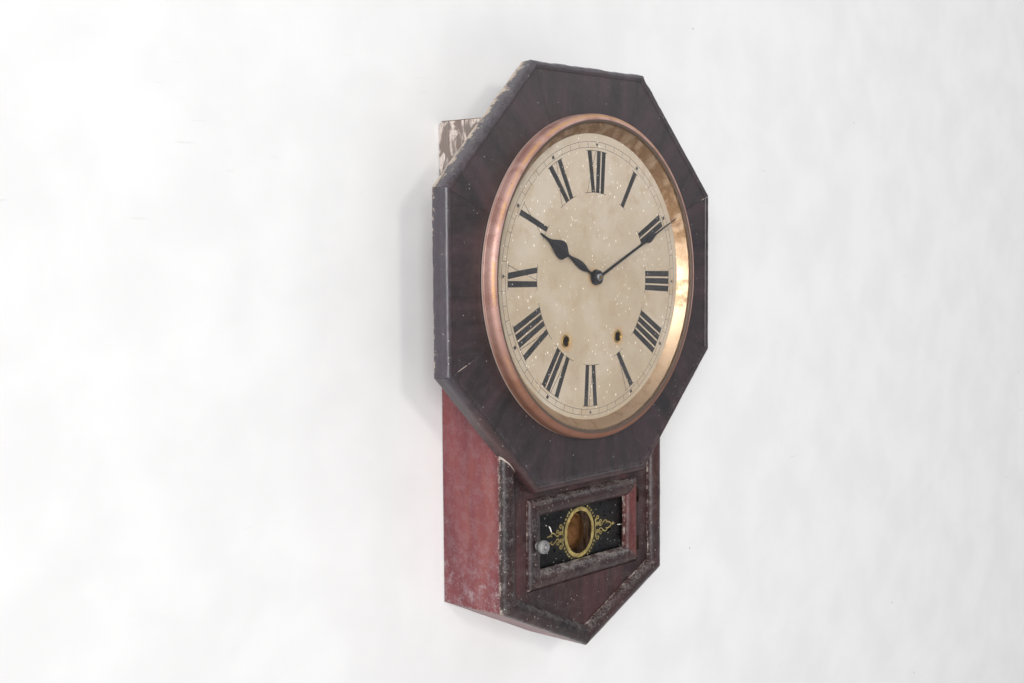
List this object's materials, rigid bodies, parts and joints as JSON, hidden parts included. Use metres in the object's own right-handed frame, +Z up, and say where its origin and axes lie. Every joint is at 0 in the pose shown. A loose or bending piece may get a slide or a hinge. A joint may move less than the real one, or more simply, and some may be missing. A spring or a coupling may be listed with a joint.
{
  "type": "octagonal wall clock",
  "caption": "Octagonal drop-case wall clock with hinged round bezel, printed dial and hands, small glazed door with pendulum behind, and a striking spring movement with coiled gong.",
  "frame": {"origin": "on the wall plane at the back of the case, straight behind the middle of the dial", "axes": "+Z up, +Y into the wall so that the dial faces -Y, +X to the right as seen from the front"},
  "size_m": [0.432, 0.106, 0.6099],
  "materials": {
    "front_wood": "shellac over dark stained veneer, worn at edges",
    "side_wood": "worn red brown varnish",
    "raw_wood": "bare weathered softwood",
    "copper": "tarnished pinkish brass",
    "brass": "aged brass",
    "steel": "plain steel",
    "blue_steel": "blued spring steel",
    "hand_black": "black painted steel",
    "dial_paint": "cream paint, stained, with printed numerals",
    "clear_glass": "clear glass",
    "backed_glass": "glass painted black behind, with a gilt pattern round a clear oval",
    "pewter": "dull grey cast metal",
    "iron": "dark painted iron"
  },
  "bodies": {
    "case": {"backboard": "raw_wood", "case_side_left": "side_wood", "case_side_right": "side_wood", "case_top": "raw_wood", "case_bottom_left": "side_wood", "case_bottom_right": "side_wood", "octagon_rail_1": "front_wood", "octagon_rail_2": "front_wood", "octagon_rail_3": "front_wood", "octagon_rail_4": "front_wood", "octagon_rail_5": "front_wood", "octagon_rail_6": "front_wood", "octagon_rail_7": "front_wood", "octagon_rail_8": "front_wood", "drop_front_panel": "front_wood", "drop_moulding_left": "front_wood", "drop_moulding_right": "front_wood", "drop_moulding_lower_left": "front_wood", "drop_moulding_lower_right": "front_wood", "door_hinge_upper": "brass", "door_hinge_lower": "brass", "bezel_hinge": "brass", "dial_plate": "dial_paint", "movement_back_plate": "brass", "movement_front_plate": "brass", "time_mainspring": "blue_steel", "strike_mainspring": "blue_steel", "gong_coil": "blue_steel", "gong_base": "iron"},
    "bezel": {"dial_bezel": "copper", "dial_glass": "clear_glass", "reflector_ring": "brass"},
    "door": {"door_rail_top": "front_wood", "door_rail_bottom": "front_wood", "door_stile_left": "front_wood", "door_stile_right": "front_wood", "door_glass": "backed_glass", "door_hinge_upper_leaf": "brass", "door_hinge_lower_leaf": "brass"},
    "knob": {"door_knob": "pewter"},
    "time_great": {"time_great_wheel": "brass"},
    "time_key": {"time_winding_arbor": "steel"},
    "time_second": {"time_second_wheel": "brass"},
    "hands": {"centre_arbor": "brass", "minute_hand": "hand_black", "hand_nut": "brass"},
    "third": {"third_wheel": "brass"},
    "escape": {"escape_wheel": "brass"},
    "minute_work": {"minute_wheel": "brass"},
    "hour": {"hour_wheel": "brass", "hour_hand": "hand_black"},
    "verge_body": {"verge": "steel"},
    "pendulum": {"pendulum_rod": "steel", "pendulum_bob": "brass"},
    "strike_great": {"strike_great_wheel": "brass"},
    "strike_key": {"strike_winding_arbor": "steel"},
    "strike_second": {"strike_second_wheel": "brass"},
    "strike_third": {"strike_third_wheel": "brass"},
    "fly_body": {"fly": "brass"},
    "hammer_body": {"hammer": "steel"}
  },
  "joints": [
    {"name": "bezel_swing", "type": "hinge", "parent": "case", "child": "bezel", "pos_m": [0.1722, -0.093, 0], "axis": [0, 0, 1], "range_deg": [0, 110]},
    {"name": "door_swing", "type": "hinge", "parent": "case", "child": "door", "pos_m": [0.0913, -0.0803, -0.2713], "axis": [0, 0, 1], "range_deg": [0, 110]},
    {"name": "knob_turn", "type": "hinge", "parent": "door", "child": "knob", "pos_m": [-0.0816, -0.08, -0.2713], "axis": [0, -1, 0], "range_deg": [0, 90]},
    {"name": "time_train_turn", "type": "hinge", "parent": "case", "child": "third", "pos_m": [-0.01831, -0.03, -0.02376], "axis": [0, -1, 0], "continuous": true},
    {"name": "escape_turn", "type": "hinge", "parent": "case", "child": "escape", "pos_m": [0, -0.03, -0.044], "axis": [0, 1, 0], "continuous": true},
    {"name": "hands_turn", "type": "hinge", "parent": "case", "child": "hands", "pos_m": [0, -0.03, 0], "axis": [0, 1, 0], "continuous": true},
    {"name": "time_second_turn", "type": "hinge", "parent": "case", "child": "time_second", "pos_m": [0.02408, -0.03, -0.02183], "axis": [0, 1, 0], "continuous": true},
    {"name": "time_great_turn", "type": "hinge", "parent": "case", "child": "time_great", "pos_m": [0.0404, -0.03, -0.0643], "axis": [0, 1, 0], "continuous": true},
    {"name": "minute_wheel_turn", "type": "hinge", "parent": "case", "child": "minute_work", "pos_m": [0.0123, -0.03, 0.0147], "axis": [0, 1, 0], "continuous": true},
    {"name": "hour_turn", "type": "hinge", "parent": "case", "child": "hour", "pos_m": [0, -0.03, 0], "axis": [0, 1, 0], "continuous": true},
    {"name": "time_wind", "type": "hinge", "parent": "time_great", "child": "time_key", "pos_m": [0.0404, -0.03, -0.0643], "axis": [0, 1, 0], "continuous": true},
    {"name": "pendulum_swing", "type": "hinge", "parent": "case", "child": "pendulum", "pos_m": [0, -0.059, -0.024], "axis": [0, 1, 0], "range_deg": [-3, 3]},
    {"name": "verge_rock", "type": "hinge", "parent": "case", "child": "verge_body", "pos_m": [0, -0.053, -0.024], "axis": [0, 1, 0], "range_deg": [-3, 3]},
    {"name": "strike_train_turn", "type": "hinge", "parent": "case", "child": "strike_third", "pos_m": [-0.038, -0.03, 0.007], "axis": [0, 1, 0], "continuous": true},
    {"name": "strike_second_turn", "type": "hinge", "parent": "case", "child": "strike_second", "pos_m": [-0.05, -0.03, -0.0192], "axis": [0, 1, 0], "continuous": true},
    {"name": "strike_great_turn", "type": "hinge", "parent": "case", "child": "strike_great", "pos_m": [-0.0456, -0.03, -0.0643], "axis": [0, 1, 0], "continuous": true},
    {"name": "fly_turn", "type": "hinge", "parent": "case", "child": "fly_body", "pos_m": [-0.022, -0.03, 0.0268], "axis": [0, 1, 0], "continuous": true},
    {"name": "strike_wind", "type": "hinge", "parent": "strike_great", "child": "strike_key", "pos_m": [-0.0456, -0.03, -0.0643], "axis": [0, 1, 0], "continuous": true},
    {"name": "hammer_lift", "type": "hinge", "parent": "case", "child": "hammer_body", "pos_m": [-0.0026, -0.024, -0.098], "axis": [0, 1, 0], "range_deg": [0, 12], "stiffness_Nm_per_rad": 0.02, "springref_deg": -5.73}
  ],
  "couplings": [
    {"joint": "escape_turn", "follows": "time_train_turn", "ratio": 10},
    {"joint": "hands_turn", "follows": "time_train_turn", "ratio": 0.11111},
    {"joint": "time_second_turn", "follows": "time_train_turn", "ratio": -0.027778},
    {"joint": "time_great_turn", "follows": "time_train_turn", "ratio": 0.0046296},
    {"joint": "minute_wheel_turn", "follows": "time_train_turn", "ratio": -0.037037},
    {"joint": "hour_turn", "follows": "time_train_turn", "ratio": 0.0092593},
    {"joint": "verge_rock", "follows": "pendulum_swing", "ratio": 1},
    {"joint": "strike_second_turn", "follows": "strike_train_turn", "ratio": -0.125},
    {"joint": "strike_great_turn", "follows": "strike_train_turn", "ratio": 0.020833},
    {"joint": "fly_turn", "follows": "strike_train_turn", "ratio": -7}
  ]
}
